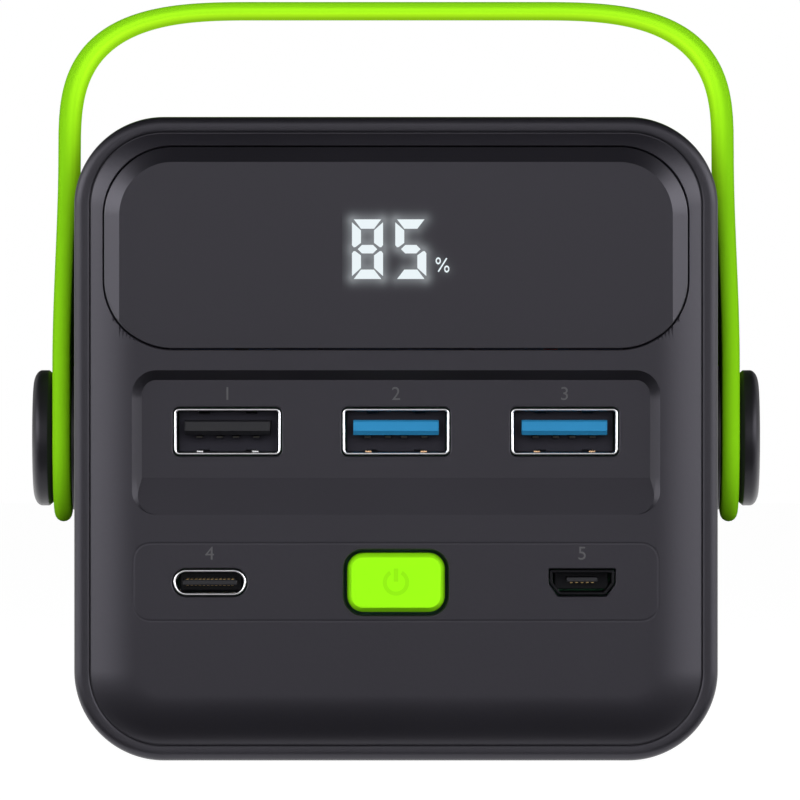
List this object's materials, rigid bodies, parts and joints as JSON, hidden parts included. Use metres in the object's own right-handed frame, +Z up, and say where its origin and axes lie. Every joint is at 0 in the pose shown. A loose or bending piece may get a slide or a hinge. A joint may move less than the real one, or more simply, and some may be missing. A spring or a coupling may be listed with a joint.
{
  "type": "pocket power station",
  "caption": "Square battery block with a display window, a row of sockets, a push button and a swinging strap handle.",
  "frame": {"origin": "middle of the box around the object, on the plane that the feet stand on", "axes": "+X to the right seen from the front, +Y from the front face to the back, +Z up"},
  "size_m": [0.091, 0.0626, 0.094],
  "materials": {
    "shell_plastic": "satin dark grey moulded plastic",
    "panel_plastic": "satin dark grey moulded plastic",
    "window_gloss": "smooth tinted plastic",
    "black_plastic": "black moulded plastic",
    "display_white": "lit white light guide",
    "board_green": "solder mask on a circuit board",
    "socket_steel": "plated sheet steel",
    "socket_blue": "blue moulded plastic",
    "contact_gold": "gold plated contact",
    "button_green": "lime green satin plastic",
    "handle_green": "lime green satin flexible plastic",
    "screw_steel": "zinc plated steel",
    "ferrite": "pressed ferrite",
    "can_aluminium": "drawn aluminium can",
    "cell_wrap": "shrink wrap",
    "nickel": "nickel strip",
    "lead_red": "red insulated wire",
    "lead_black": "black insulated wire",
    "cap_plastic": "satin black moulded plastic",
    "nylon": "nylon washer",
    "foot_rubber": "black rubber"
  },
  "bodies": {
    "body": {"main_shell": "shell_plastic", "front_panel": "panel_plastic", "rear_cover": "panel_plastic", "display_window": "window_gloss", "display_block": "black_plastic", "digit_guides": "display_white", "display_board": "board_green", "usb_a_left_shell": "socket_steel", "usb_a_middle_shell": "socket_steel", "usb_a_right_shell": "socket_steel", "usb_a_left_tongue": "black_plastic", "usb_a_middle_tongue": "socket_blue", "usb_a_right_tongue": "socket_blue", "usb_a_left_contacts": "contact_gold", "usb_a_middle_contacts": "contact_gold", "usb_a_right_contacts": "contact_gold", "usb_c_shell": "socket_steel", "usb_c_tongue": "black_plastic", "usb_c_contacts": "contact_gold", "micro_usb_shell": "black_plastic", "micro_usb_tongue": "black_plastic", "micro_usb_contacts": "contact_gold", "switch_body": "socket_steel", "port_board": "board_green", "board_screws": "screw_steel", "power_inductors": "ferrite", "power_capacitors": "can_aluminium", "power_chips": "black_plastic", "chassis_tray": "black_plastic", "top_holder": "black_plastic", "cell_1": "cell_wrap", "cell_2": "cell_wrap", "cell_3": "cell_wrap", "cell_4": "cell_wrap", "cell_5": "cell_wrap", "cell_6": "cell_wrap", "cell_strips": "nickel", "lead_positive": "lead_red", "lead_negative": "lead_black", "pivot_cap_left": "cap_plastic", "pivot_cap_right": "cap_plastic", "pivot_bush_left": "screw_steel", "pivot_bush_right": "screw_steel", "friction_washer_left": "nylon", "friction_washer_right": "nylon", "pivot_screw_left": "screw_steel", "pivot_screw_right": "screw_steel", "screw_washer_left": "screw_steel", "screw_washer_right": "screw_steel", "case_screws": "screw_steel", "feet": "foot_rubber"},
    "handle": {"handle": "handle_green"},
    "button": {"power_button": "button_green", "switch_plunger": "black_plastic"}
  },
  "joints": [
    {"name": "handle_swing", "type": "hinge", "parent": "body", "child": "handle", "pos_m": [0, 0.0003, 0.03965], "axis": [1, 0, 0], "range_deg": [-130, 130]},
    {"name": "button_press", "type": "slide", "parent": "body", "child": "button", "axis": [0, 1, 0], "range_m": [0, 0.0005], "stiffness_N_per_m": 2500}
  ]
}
